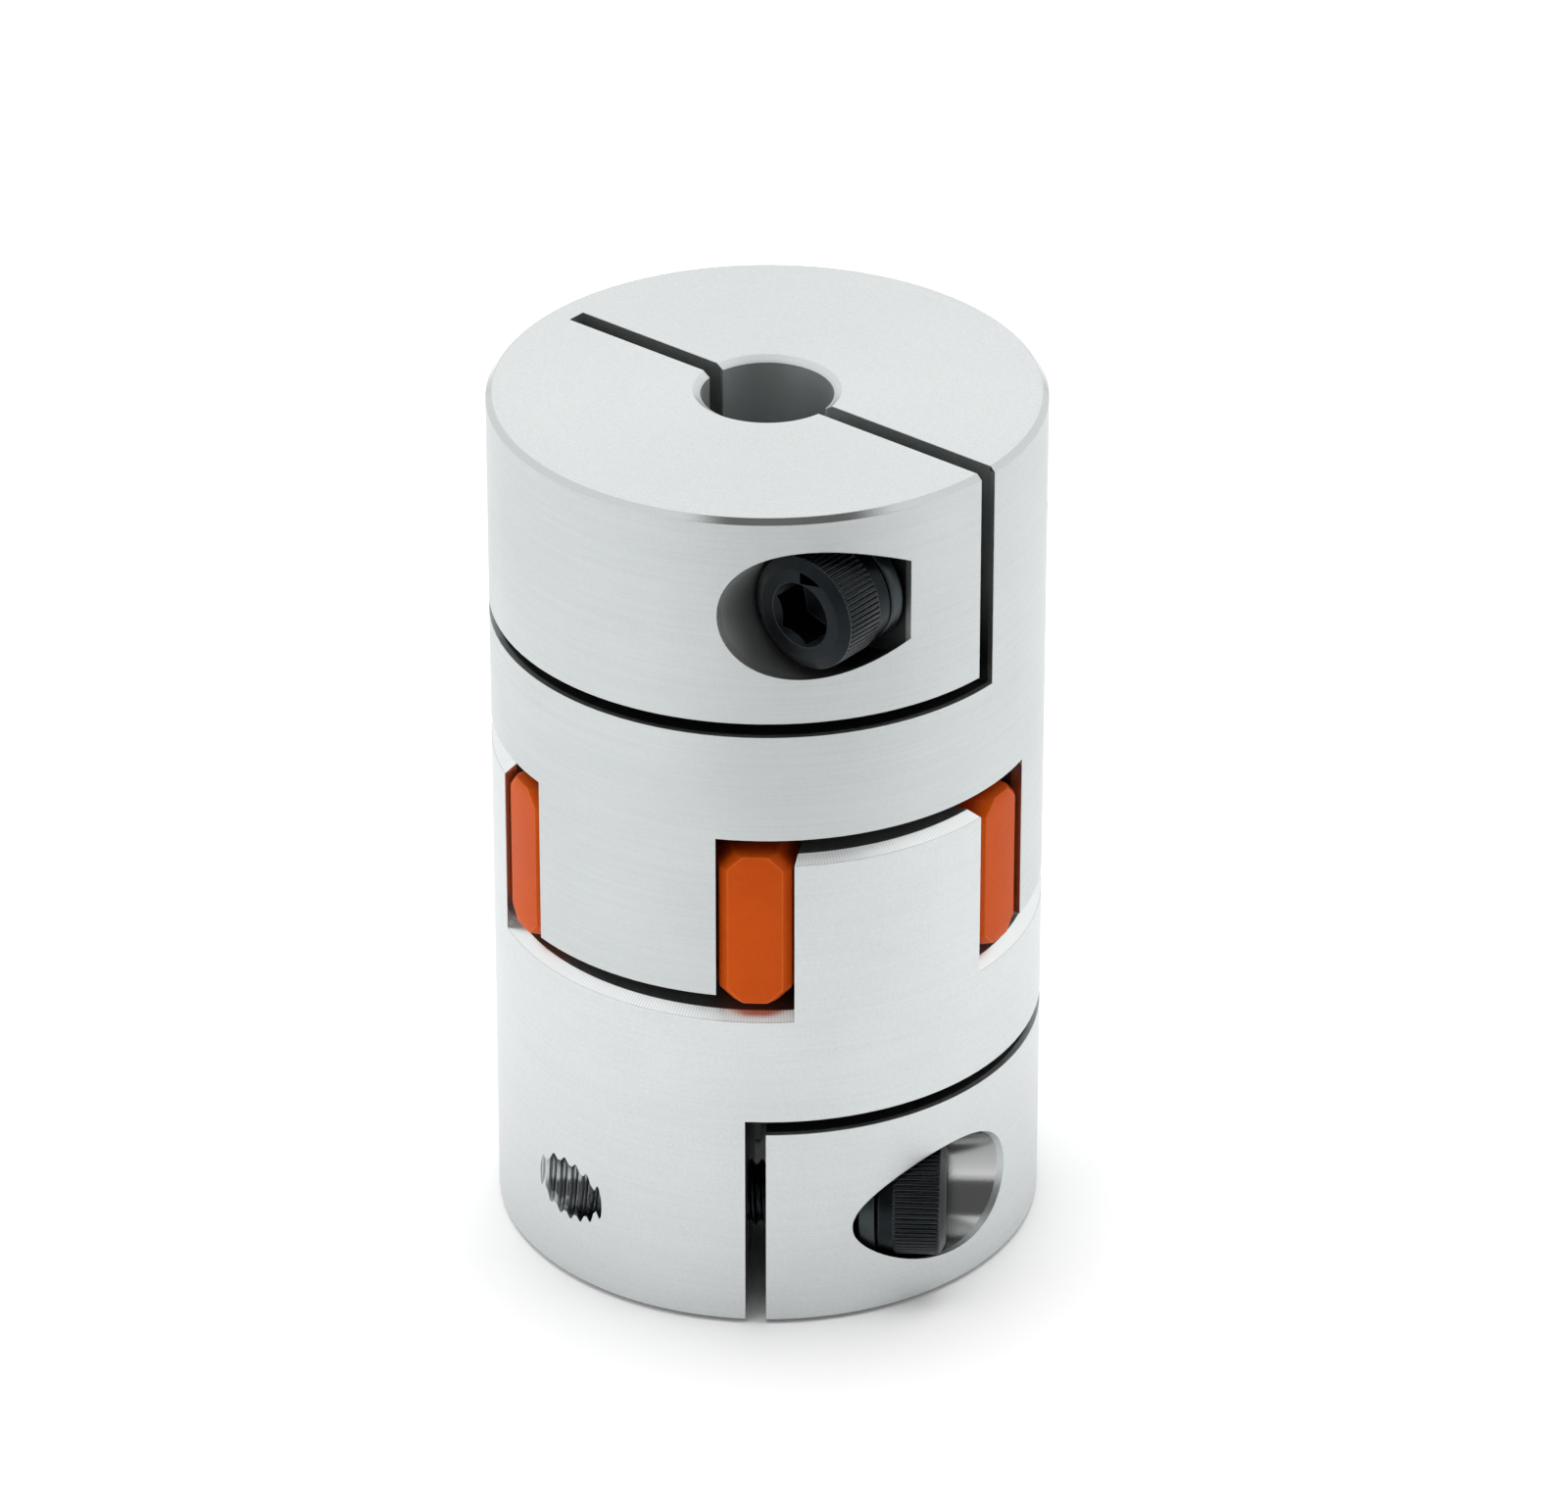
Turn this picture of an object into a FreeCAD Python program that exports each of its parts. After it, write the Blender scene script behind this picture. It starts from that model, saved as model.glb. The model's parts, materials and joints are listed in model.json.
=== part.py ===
import FreeCAD, Part
import math
import os

# Jaw coupling: two clamp hubs that grip two shaft ends, and an elastic spider between
# their jaws. Millimetres, +Z along the shafts, origin at the centre of the lower end face.
# Angles are counted from -Y towards +X, that is counter-clockwise seen from above.

# Whole coupling
OUTER_RADIUS = 20.0
TOTAL_LENGTH = 66.0
FACE_GAP = 14.04                               # between the two hubs' inner faces
HUB_BODY = (TOTAL_LENGTH - FACE_GAP) / 2       # hub length without its jaws
END_BEVEL = 0.4
INNER_BEVEL_WIDTH = 1.0                        # on inner face and jaw ends, across the axis
INNER_BEVEL_DEPTH = 0.45                       # and along it

# Bore, 3/8 inch
BORE_RADIUS = 9.525 / 2
BORE_MOUTH_WIDTH = 0.6                         # bevel at the outer mouth, wider than deep
BORE_MOUTH_DEPTH = 0.4

# Jaws and the slots between them that the spider's arms fill. A slot's side is an arc
# through three points: its half widths at the jaw's inner radius, midway and past the rim.
JAW_COUNT = 3
JAW_LENGTH = 12.83
JAW_INNER_RADIUS = 11.0
SLOT_MIDDLE_RADIUS = 15.5
SLOT_RIM_RADIUS = 21.0
SLOT_HALF_INNER = 2.95
SLOT_HALF_MIDDLE = 3.30
SLOT_HALF_RIM = 2.55
ARM_PITCH = 360.0 / (2 * JAW_COUNT)
LOWER_JAW_START = 30.0
UPPER_JAW_START = 83.0

# Clamp section: one vertical slit through the bore and one level slit over the free half
CLAMP_HEIGHT = 16.1
LEVEL_SLIT = 1.1
VERTICAL_SLIT = 1.5
SLIT_WEB = 2.15                                # wall left at the blind end of the slit
UPPER_TURN = -127.0                            # upper hub, after it is turned upside down

# Clamp screw M5 x 16, with its pocket in the free half and its thread in the fixed half
SCREW_OFFSET = 14.2
SCREW_HEIGHT = 7.65
POCKET_FLOOR = 6.95                            # from the middle of the vertical slit
LOWER_POCKET_RADIUS = 4.7
LOWER_POCKET_SHIFT = -0.15                      # outwards from the screw's axis
UPPER_POCKET_RADIUS = 5.0
UPPER_POCKET_SHIFT = 0.6
CLEARANCE_RADIUS = 2.75
SCREW_LENGTH = 16.0
HEAD_RADIUS = 4.25
HEAD_HEIGHT = 5.0
HEAD_BEVEL_WIDTH = 0.85                        # across the axis
HEAD_BEVEL_DEPTH = 0.45                        # and along it
HEAD_SEAT = 8.65                               # underside of the head
TIP_BEVEL = 0.75
SOCKET_FLATS = 4.0
SOCKET_DEPTH = 2.6
SOCKET_TURN = 12.0

# Thread M5 x 0.8, right-hand, 60 degrees; the screw's ridge runs free in the hole's groove
PITCH = 0.8
HOLE_CREST_RADIUS = 2.1
HOLE_ROOT_RADIUS = 2.5
GROOVE_ROOT_HALF = 0.05                        # half the flat at the bottom of the groove
CORE_RADIUS = 2.04
RIDGE_CREST_RADIUS = 2.43
RIDGE_CLEARANCE = 0.04                         # along the axis, on each flank
THREAD_FOOT_RADIUS = 1.95                      # where ridge and groove sections begin
THREAD_FLANK_ANGLE = 30.0                      # from a plane across the axis

# Spring lock washer, relaxed, so that its two ends stand apart
WASHER_INNER_RADIUS = 2.6
WASHER_OUTER_RADIUS = 4.15
WASHER_THICKNESS = 1.2
WASHER_RISE = 0.46
WASHER_TURNS = 0.965
WASHER_LIFT = 0.02                             # clearance over the pocket's floor

# Spider
SPIDER_THICKNESS = 12.0
SPIDER_RADIUS = 19.85
SPIDER_RING_OUTER = 10.6
SPIDER_RING_INNER = 7.5
ARM_CLEARANCE = 0.25
ARM_ROOT = 9.2
ARM_EDGE_BEVEL = 1.1
ARM_TIP_BEVEL = 0.5
NUB_RADIUS = 0.9
NUB_GAP = 0.1                                  # between a nub's end and a hub's face
NUB_CIRCLE = 9.0

AXIS_X = FreeCAD.Vector(1, 0, 0)
AXIS_Z = FreeCAD.Vector(0, 0, 1)
CENTRE = FreeCAD.Vector(0, 0, 0)
EXTRA = 1.0                                    # how far a cutter runs past what it cuts
NEAR = 0.01                                    # closer than this, two places are the same


def polar(outwards, sideways, angle, z):
    """Point reached by going outwards along an angle, then sideways at a right angle."""
    turn = math.radians(angle)
    x = outwards * math.sin(turn) + sideways * math.cos(turn)
    y = -outwards * math.cos(turn) + sideways * math.sin(turn)
    return FreeCAD.Vector(x, y, z)


def rim_point(radius, sideways, angle, z):
    """Point on a circle round the axis, at a sideways distance from the line at an angle."""
    return polar(math.sqrt(radius ** 2 - sideways ** 2), sideways, angle, z)


def arc(start, middle, end):
    return Part.Arc(start, middle, end).toShape()


def prism(edges, height):
    """Solid of a closed flat outline pulled up by a height."""
    outline = Part.Wire(Part.__sortEdges__(edges))
    return Part.Face(outline).extrude(FreeCAD.Vector(0, 0, height))


def turned(profile):
    """Solid turned from (radius, z) points about the Z axis."""
    points = [FreeCAD.Vector(radius, 0, z) for radius, z in profile]
    outline = Part.makePolygon(points + points[:1])
    return Part.Face(outline).revolve(CENTRE, AXIS_Z, 360)


def rod(radius, height, foot_bevel=(0, 0), top_bevel=(0, 0)):
    """Cylinder from Z = 0, each end bevelled by a (width, depth) across and along the axis."""
    foot_width, foot_depth = foot_bevel
    top_width, top_depth = top_bevel
    profile = [(0, 0), (radius - foot_width, 0)]
    if foot_depth:
        profile.append((radius, foot_depth))
    if top_depth:
        profile.append((radius, height - top_depth))
    profile += [(radius - top_width, height), (0, height)]
    return turned(profile)


def along_x(shape, start, sideways, height):
    """Lay a shape that stands on Z down along +X, its foot at the given place."""
    laid = shape.copy()
    laid.rotate(CENTRE, FreeCAD.Vector(0, 1, 0), 90)
    laid.translate(FreeCAD.Vector(start, sideways, height))
    return laid


def at_screw(shape, start, shift=0.0):
    return along_x(shape, start, -SCREW_OFFSET - shift, SCREW_HEIGHT)


def to_upper_hub(shape):
    """Turn a shape of the lower hub's clamp upside down to the upper hub's place."""
    moved = shape.copy()
    moved.rotate(CENTRE, AXIS_X, 180)
    moved.rotate(CENTRE, AXIS_Z, UPPER_TURN)
    moved.translate(FreeCAD.Vector(0, 0, TOTAL_LENGTH))
    return moved


def flank(angle, side, inset):
    """Three points on the curved side of a slot, moved into the slot by an inset."""
    inner = rim_point(JAW_INNER_RADIUS, side * (SLOT_HALF_INNER - inset), angle, 0)
    middle = polar(SLOT_MIDDLE_RADIUS, side * (SLOT_HALF_MIDDLE - inset), angle, 0)
    rim = rim_point(SLOT_RIM_RADIUS, side * (SLOT_HALF_RIM - inset), angle, 0)
    return inner, middle, rim


def jaw_column(centre_angle):
    """A jaw's outline, a ring sector with hollow flanks, past the hub in every direction."""
    inner_a, middle_a, rim_a = flank(centre_angle - ARM_PITCH / 2, 1, 0)
    inner_b, middle_b, rim_b = flank(centre_angle + ARM_PITCH / 2, -1, 0)
    edges = [
        arc(inner_a, middle_a, rim_a),
        arc(rim_a, polar(SLOT_RIM_RADIUS, 0, centre_angle, 0), rim_b),
        arc(rim_b, middle_b, inner_b),
        arc(inner_b, polar(JAW_INNER_RADIUS, 0, centre_angle, 0), inner_a),
    ]
    solid = prism(edges, JAW_LENGTH + 4 * EXTRA)
    solid.translate(FreeCAD.Vector(0, 0, HUB_BODY - 2 * EXTRA))
    return solid


def jaw_gaps(jaw_start):
    """All that is cut away round the jaws, down to the hub's bevelled inner face."""
    top = HUB_BODY + JAW_LENGTH + EXTRA
    bevel_slope = INNER_BEVEL_DEPTH / INNER_BEVEL_WIDTH
    solid = turned([
        (0, HUB_BODY),
        (OUTER_RADIUS - INNER_BEVEL_WIDTH, HUB_BODY),
        (OUTER_RADIUS + EXTRA, HUB_BODY - (INNER_BEVEL_WIDTH + EXTRA) * bevel_slope),
        (OUTER_RADIUS + EXTRA, top),
        (0, top),
    ])
    return solid.cut([jaw_column(jaw_start + index * 2 * ARM_PITCH) for index in range(JAW_COUNT)])


def bore_cutter():
    outer_mouth = BORE_RADIUS + BORE_MOUTH_WIDTH
    inner_mouth = BORE_RADIUS + END_BEVEL
    return turned([
        (0, -EXTRA),
        (outer_mouth, -EXTRA),
        (outer_mouth, 0),
        (BORE_RADIUS, BORE_MOUTH_DEPTH),
        (BORE_RADIUS, HUB_BODY - END_BEVEL),
        (inner_mouth, HUB_BODY),
        (inner_mouth, HUB_BODY + EXTRA),
        (0, HUB_BODY + EXTRA),
    ])


def slit_cutters():
    """The vertical slit, open at -Y, and the level slit that frees the half at +X."""
    blind_end = OUTER_RADIUS - SLIT_WEB
    reach = OUTER_RADIUS + EXTRA
    upright = Part.makeBox(
        VERTICAL_SLIT,
        reach + blind_end,
        EXTRA + CLAMP_HEIGHT + LEVEL_SLIT,
        FreeCAD.Vector(-VERTICAL_SLIT / 2, -reach, -EXTRA),
    )
    level = Part.makeBox(
        reach + VERTICAL_SLIT / 2,
        2 * reach,
        LEVEL_SLIT,
        FreeCAD.Vector(-VERTICAL_SLIT / 2, -reach, CLAMP_HEIGHT),
    )
    return [upright, level]


def thread_strip(crest_radius, clearance, first_turn, last_turn):
    """Helical strip of thread section about Z, in step with a thread that starts at Z = 0."""
    slope = math.tan(math.radians(THREAD_FLANK_ANGLE))

    def half_width(radius):
        return GROOVE_ROOT_HALF + (HOLE_ROOT_RADIUS - radius) * slope - clearance

    foot_half = half_width(THREAD_FOOT_RADIUS)
    crest_half = half_width(crest_radius)
    corners = [
        FreeCAD.Vector(THREAD_FOOT_RADIUS, 0, -foot_half),
        FreeCAD.Vector(crest_radius, 0, -crest_half),
        FreeCAD.Vector(crest_radius, 0, crest_half),
        FreeCAD.Vector(THREAD_FOOT_RADIUS, 0, foot_half),
    ]
    section = Part.makePolygon(corners + corners[:1])
    spine = Part.makeHelix(PITCH, (last_turn - first_turn) * PITCH, THREAD_FOOT_RADIUS)
    strip = Part.Wire(spine.Edges).makePipeShell([section], True, True)
    strip.translate(FreeCAD.Vector(0, 0, first_turn * PITCH))
    return strip


def screw_cutters(pocket_radius, pocket_shift):
    """Pocket and clearance hole in the free half, tapped hole in the fixed half."""
    pocket = Part.makeCylinder(pocket_radius, OUTER_RADIUS)
    clearance = Part.makeCylinder(CLEARANCE_RADIUS, POCKET_FLOOR)
    tapped = Part.makeCylinder(HOLE_CREST_RADIUS, OUTER_RADIUS)
    tip = HEAD_SEAT - SCREW_LENGTH
    turns_out = math.ceil((OUTER_RADIUS + tip) / PITCH)
    turns_in = math.floor(-tip / PITCH)
    groove = thread_strip(HOLE_ROOT_RADIUS, 0, -turns_out, turns_in)
    return [
        at_screw(pocket, POCKET_FLOOR, pocket_shift),
        at_screw(clearance, 0),
        at_screw(tapped, -OUTER_RADIUS),
        at_screw(groove, tip),
    ]


def hub(jaw_start, pocket_radius, pocket_shift):
    """A clamp hub with its end face at Z = 0 and its jaws pointing up."""
    blank = rod(
        OUTER_RADIUS,
        HUB_BODY + JAW_LENGTH,
        (END_BEVEL, END_BEVEL),
        (INNER_BEVEL_WIDTH, INNER_BEVEL_DEPTH),
    )
    cutters = [jaw_gaps(jaw_start), bore_cutter()]
    cutters += slit_cutters() + screw_cutters(pocket_radius, pocket_shift)
    return blank.cut(cutters)


def arm(angle):
    """One spider arm: crowned flanks, cut corners at top and bottom, blunt outer end."""
    flank_a = flank(angle, -1, ARM_CLEARANCE)
    flank_b = flank(angle, 1, ARM_CLEARANCE)
    half_root = SLOT_HALF_INNER - ARM_CLEARANCE
    root_a = polar(ARM_ROOT, -half_root, angle, 0)
    root_b = polar(ARM_ROOT, half_root, angle, 0)
    edges = [
        Part.makeLine(root_a, flank_a[0]),
        arc(*flank_a),
        arc(flank_a[2], polar(SLOT_RIM_RADIUS, 0, angle, 0), flank_b[2]),
        arc(*reversed(flank_b)),
        Part.makeLine(flank_b[0], root_b),
        Part.makeLine(root_b, root_a),
    ]
    solid = prism(edges, SPIDER_THICKNESS)
    solid = solid.common(Part.makeCylinder(SPIDER_RADIUS, SPIDER_THICKNESS))
    solid = solid.makeChamfer(ARM_EDGE_BEVEL, side_edges(solid, angle))
    return solid.makeChamfer(ARM_TIP_BEVEL, tip_edges(solid, angle))


def middle_of(edge):
    return edge.valueAt((edge.FirstParameter + edge.LastParameter) / 2)


def rise_of(edge):
    return abs(edge.valueAt(edge.FirstParameter).z - edge.valueAt(edge.LastParameter).z)


def sideways_of(point, angle):
    return abs(point.dot(polar(0, 1, angle, 0)))


def side_edges(solid, angle):
    """The edges that run along an arm's flanks at its top and bottom."""
    found = []
    for edge in solid.Edges:
        if rise_of(edge) < NEAR and sideways_of(middle_of(edge), angle) > SLOT_HALF_RIM / 2:
            found.append(edge)
    return found


def tip_edges(solid, angle):
    """The upright edges at an arm's outer end."""
    found = []
    for edge in solid.Edges:
        outwards = middle_of(edge).dot(polar(1, 0, angle, 0))
        if rise_of(edge) > SPIDER_THICKNESS / 2 and outwards > SLOT_MIDDLE_RADIUS:
            found.append(edge)
    return found


def spider():
    """Elastic star: a ring, six arms and the nubs that keep it clear of the hubs' faces."""
    ring = Part.makeCylinder(SPIDER_RING_OUTER, SPIDER_THICKNESS)
    arms = [arm(index * ARM_PITCH) for index in range(2 * JAW_COUNT)]
    nub_span = FACE_GAP - 2 * NUB_GAP
    nub_foot = (SPIDER_THICKNESS - nub_span) / 2
    nubs = []
    for index in range(2 * JAW_COUNT):
        place = polar(NUB_CIRCLE, 0, index * ARM_PITCH, nub_foot)
        nubs.append(Part.makeCylinder(NUB_RADIUS, nub_span, place))
    solid = ring.fuse(arms + nubs)
    hole = Part.makeCylinder(SPIDER_RING_INNER, SPIDER_THICKNESS)
    solid = solid.cut(hole).removeSplitter()
    solid.translate(FreeCAD.Vector(0, 0, (TOTAL_LENGTH - SPIDER_THICKNESS) / 2))
    return solid


def hexagon_prism(flats, height):
    corner = flats / math.sqrt(3)
    points = []
    for index in range(6):
        turn = math.radians(60 * index)
        points.append(FreeCAD.Vector(corner * math.cos(turn), corner * math.sin(turn), 0))
    return Part.Face(Part.makePolygon(points + points[:1])).extrude(FreeCAD.Vector(0, 0, height))


def threaded_shank():
    """The screw below its head: a core with a ridge wound on it, bevelled at the tip."""
    core = Part.makeCylinder(CORE_RADIUS, SCREW_LENGTH)
    turns = math.floor(SCREW_LENGTH / PITCH) - 1
    ridge = thread_strip(RIDGE_CREST_RADIUS, RIDGE_CLEARANCE, -1, turns)
    envelope = rod(HOLE_ROOT_RADIUS, SCREW_LENGTH, foot_bevel=(TIP_BEVEL, TIP_BEVEL))
    return core.fuse(ridge).common(envelope)


def clamp_screw():
    """Socket head screw, built up along Z from its tip and then laid along the hole."""
    head_top = SCREW_LENGTH + HEAD_HEIGHT
    head = rod(HEAD_RADIUS, HEAD_HEIGHT, top_bevel=(HEAD_BEVEL_WIDTH, HEAD_BEVEL_DEPTH))
    head.translate(FreeCAD.Vector(0, 0, SCREW_LENGTH))
    socket = hexagon_prism(SOCKET_FLATS, SOCKET_DEPTH + EXTRA)
    socket.rotate(CENTRE, AXIS_Z, SOCKET_TURN)
    socket.translate(FreeCAD.Vector(0, 0, head_top - SOCKET_DEPTH))
    solid = threaded_shank().fuse(head).cut(socket)
    return at_screw(solid, HEAD_SEAT - SCREW_LENGTH)


def lock_washer():
    """One turn of a flat helix, round the screw and between its head and the pocket's floor."""
    middle_radius = (WASHER_INNER_RADIUS + WASHER_OUTER_RADIUS) / 2
    spine = Part.makeHelix(WASHER_RISE / WASHER_TURNS, WASHER_RISE, middle_radius)
    corners = [
        FreeCAD.Vector(WASHER_INNER_RADIUS, 0, 0),
        FreeCAD.Vector(WASHER_OUTER_RADIUS, 0, 0),
        FreeCAD.Vector(WASHER_OUTER_RADIUS, 0, WASHER_THICKNESS),
        FreeCAD.Vector(WASHER_INNER_RADIUS, 0, WASHER_THICKNESS),
    ]
    section = Part.makePolygon(corners + corners[:1])
    coil = Part.Wire(spine.Edges).makePipeShell([section], True, True)
    return at_screw(coil, POCKET_FLOOR + WASHER_LIFT)


def main():
    os.makedirs("parts", exist_ok=True)
    screw = clamp_screw()
    washer = lock_washer()
    nodes = {
        "lower_hub": hub(LOWER_JAW_START, LOWER_POCKET_RADIUS, LOWER_POCKET_SHIFT),
        "upper_hub": to_upper_hub(hub(UPPER_JAW_START, UPPER_POCKET_RADIUS, UPPER_POCKET_SHIFT)),
        "spider": spider(),
        "lower_clamp_screw": screw,
        "upper_clamp_screw": to_upper_hub(screw),
        "lower_lock_washer": washer,
        "upper_lock_washer": to_upper_hub(washer),
    }
    for name, shape in nodes.items():
        shape.exportStep("parts/" + name + ".step")
        box = shape.optimalBoundingBox()
        print(name, shape.isValid(), len(shape.Solids), round(shape.Volume, 1),
              [round(v, 2) for v in (box.XMin, box.XMax, box.YMin, box.YMax, box.ZMin, box.ZMax)])


main()
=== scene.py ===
import json
import math

import bmesh
import bpy
from mathutils import Matrix, Vector


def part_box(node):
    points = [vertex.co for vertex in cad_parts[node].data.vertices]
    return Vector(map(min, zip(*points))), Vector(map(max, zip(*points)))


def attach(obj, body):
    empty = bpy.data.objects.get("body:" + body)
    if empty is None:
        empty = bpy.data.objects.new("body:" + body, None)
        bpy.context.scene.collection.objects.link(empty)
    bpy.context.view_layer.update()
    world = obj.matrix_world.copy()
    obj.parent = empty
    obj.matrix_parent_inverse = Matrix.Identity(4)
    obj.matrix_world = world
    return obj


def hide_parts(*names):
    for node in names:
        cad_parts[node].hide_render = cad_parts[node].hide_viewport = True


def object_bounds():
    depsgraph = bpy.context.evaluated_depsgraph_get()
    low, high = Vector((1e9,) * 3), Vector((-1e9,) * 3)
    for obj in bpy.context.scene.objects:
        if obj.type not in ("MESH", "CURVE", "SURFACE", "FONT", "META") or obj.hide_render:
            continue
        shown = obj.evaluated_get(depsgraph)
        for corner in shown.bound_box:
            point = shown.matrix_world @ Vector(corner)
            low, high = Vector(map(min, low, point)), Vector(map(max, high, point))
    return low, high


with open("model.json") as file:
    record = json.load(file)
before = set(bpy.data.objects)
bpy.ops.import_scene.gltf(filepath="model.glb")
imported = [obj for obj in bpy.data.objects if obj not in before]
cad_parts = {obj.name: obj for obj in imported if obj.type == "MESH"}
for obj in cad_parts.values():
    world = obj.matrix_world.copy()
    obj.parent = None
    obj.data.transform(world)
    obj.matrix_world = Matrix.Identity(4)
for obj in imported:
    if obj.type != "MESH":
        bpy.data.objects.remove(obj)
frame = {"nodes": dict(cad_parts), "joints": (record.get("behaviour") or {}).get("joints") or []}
cad_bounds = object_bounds()

# ---------------------------------------------------------------- sizes, metres and degrees
MM = 0.001

# Hubs, as far as their surfaces are told apart
END_FACE_DEPTH = 0.05 * MM
END_BEVEL = 0.4 * MM
SIDE_EDGE = 0.45 * MM                        # the side begins this far inside the outer radius
BORE_EDGE = 4.95 * MM
POCKETS = {                                  # radius, and how far outwards of the screw it is cut
    "lower": (4.7 * MM, -0.15 * MM),
    "upper": (5.0 * MM, 0.6 * MM),
}
POCKET_MARGIN = 0.12 * MM
POCKET_ROUGHNESS = {"lower": 0.15, "upper": 0.38}
POCKET_BRIGHTNESS = {"lower": 0.40, "upper": 0.80}
POCKET_DEPTH = 6.5 * MM
SEAT_SHADE_START = 13.5 * MM                 # along the screw, painted shade darkens the pocket from here ...
SEAT_SHADE_FULL = 10.0 * MM                  # ... to here
SEAT_SHADE = 0.85
TAPPED_HOLE_EDGE = 2.7 * MM
HUB_BODY = 25.98 * MM                        # from the end face to the inner face, between the jaws
JAW_END = 38.81 * MM
INNER_BEVEL_WIDTH = 1.0 * MM                 # on the inner face and on the jaws' ends
INNER_BEVEL_DEPTH = 0.45 * MM
INNER_BEVEL_MARGIN = 0.05 * MM
INNER_BEVEL_TILT = 0.31                      # how far the inner bevels' rounding leans outwards
CHATTER_MARKS = 560
MARKS_PER_METRE = 6500.0
SIDE_MARK_STRETCH = 90.0
FACE_MARK_STRETCH = 1.6
LEVEL_SLIT_DEPTH = 15.8 * MM
SLIT_SHADE_RISE = 6.0 * MM                   # painted shade darkens the slits over this much, down to the level slit
SLIT_SHADES = (0.15, 0.9)
# painted shade: the sides darker than the end faces, and the upper hub's sides darker than the lower's
SHADED_SIDE_TONES = {"lower": (0.615, 0.643, 0.646), "upper": (0.530, 0.557, 0.559)}
GRAIN_SCALE = 5200.0
CLOUD_SCALE = 95.0
MARK_HEIGHTS = (0.2, 0.5)                    # on the side, and on the end face
TEXTURE_DEPTH = 0.004 * MM
BURNISHED_AND_HIGHLIGHT_EDGE = 0.06 * MM
CLAMP_DEPTH = 17.25 * MM                     # from the end face past the level slit

# Clamp screw M5 x 16
HEAD_HEIGHT = 5.0 * MM
HEAD_EDGE = 0.15 * MM
COLLAR_RADIUS = 4.1 * MM
COLLAR_HEIGHT = 1.25 * MM
KNURL_RIBS = 66
KNURL_DEPTH = 0.2 * MM
KNURL_RAMP = 0.18 * MM
KNURL_TOP = 4.5 * MM
HEAD_TOP_RADIUS = 3.4 * MM
HEAD_SHOULDER = 4.55 * MM                    # where the head's top bevel begins
SOCKET_MOUTH_RADIUS = 2.45 * MM
SOCKET_HALF_FLATS = 2.0 * MM
SOCKET_DEPTH = 3.0 * MM
SOCKET_CONE = 0.6 * MM
SOCKET_TURN = math.radians(12)
THREAD_PITCH = 0.8 * MM
THREAD_CREST = 2.43 * MM
THREAD_CORE = 2.04 * MM
THREAD_CREST_HALF = 0.05 * MM
THREAD_END = 15.2 * MM
THREAD_ROW = 0.08 * MM
TIP_RADIUS = 1.75 * MM

# Spring lock washer
WASHER_INNER_RADIUS = 2.6 * MM
WASHER_OUTER_RADIUS = 4.15 * MM
WASHER_THICKNESS = 1.2 * MM
WASHER_TURNS = 0.965
WASHER_ROUNDING = 0.16 * MM

# Spider
SPIDER_THICKNESS = 12.0 * MM
SPIDER_ARMS = 6
SPIDER_RADIUS = 19.85 * MM
RING_OUTER_RADIUS = 10.6 * MM
RING_INNER_RADIUS = 7.5 * MM
ARM_HALF_WIDTHS = ((11.0 * MM, 2.70 * MM), (15.5 * MM, 3.05 * MM), (21.0 * MM, 2.08 * MM))
ARM_EDGE_BEVEL = 1.1 * MM
ARM_TIP_BEVEL = 0.6 * MM
ARM_ROUNDING = 0.09 * MM
RING_ROUNDING = 0.35 * MM
NUB_RADIUS = 0.9 * MM
NUB_CIRCLE = 9.0 * MM
NUB_ROUNDING = 0.3 * MM

# Camera
CAMERA_DISTANCE = 648.0 * MM
CAMERA_AZIMUTH = 2.6
CAMERA_ELEVATION = 29.8
VIEW_WIDTH = 114.0 * MM                      # what the frame takes in at the coupling
AIM_RIGHT = 1.19 * MM
AIM_UP = 3.57 * MM
SENSOR_WIDTH = 36.0                          # millimetres, as Blender counts it

# Light: a white room, its dark part behind the camera, and one softbox overhead
WORLD_STRENGTH = 1.0
SOFTBOX_PLACE = (-0.02, 0.05, 0.75)
SOFTBOX_AIM = (0, 0, 0.03)
SOFTBOX_SIZE = (0.5, 0.5)
SOFTBOX_WATTS = 3.7
DARK_AZIMUTH = 14.0
DARK_HALF_WIDTH = 46.0
DARK_WIDTH_SOFTNESS = 9.0
DARK_LOW = 3.0
DARK_HIGH = 68.0
DARK_HEIGHT_SOFTNESS = 3.0
DARK_LEVEL = 0.15
# a dark sheet seen only in reflections, a painted reflection on the hubs
CARD_AZIMUTH = 17.0
CARD_HALF_ANGLE = 60.0
CARD_LEVEL = 0.30
CARD_NEAR = 75.0 * MM
CARD_FULL = 118.0 * MM
CARD_FAR = 400.0 * MM
CARD_RISE = 0.5 * MM

FULL_TURN = 2 * math.pi


# ---------------------------------------------------------------- places
def direction(azimuth, elevation):
    """Unit vector from the object, azimuth counted from -Y towards +X."""
    turn, rise = math.radians(azimuth), math.radians(elevation)
    return Vector((math.sin(turn) * math.cos(rise), -math.cos(turn) * math.cos(rise), math.sin(rise)))


def clamp_space(end):
    """Axes of one hub's clamp: X along its screw to the head, Z from its end face inwards."""
    screw_joint = next(j for j in frame["joints"] if j["name"] == end + "_screw_turn")
    along_screw = Vector(screw_joint["axis"])
    low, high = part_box(end + "_hub")
    inwards = Vector((0, 0, 1 if end == "lower" else -1))
    end_face = Vector((0, 0, low.z if end == "lower" else high.z))
    turn = Matrix((along_screw, inwards.cross(along_screw), inwards)).transposed()
    return Matrix.Translation(end_face) @ turn.to_4x4()


def screw_space(end, start):
    """Axes of a clamp's screw: Z along it, from a place counted along the clamp's X."""
    low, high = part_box("lower_clamp_screw")
    foot = Vector((start, (low.y + high.y) / 2, (low.z + high.z) / 2))
    return clamp_space(end) @ Matrix.Translation(foot) @ Matrix.Rotation(math.pi / 2, 4, "Y")


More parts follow.
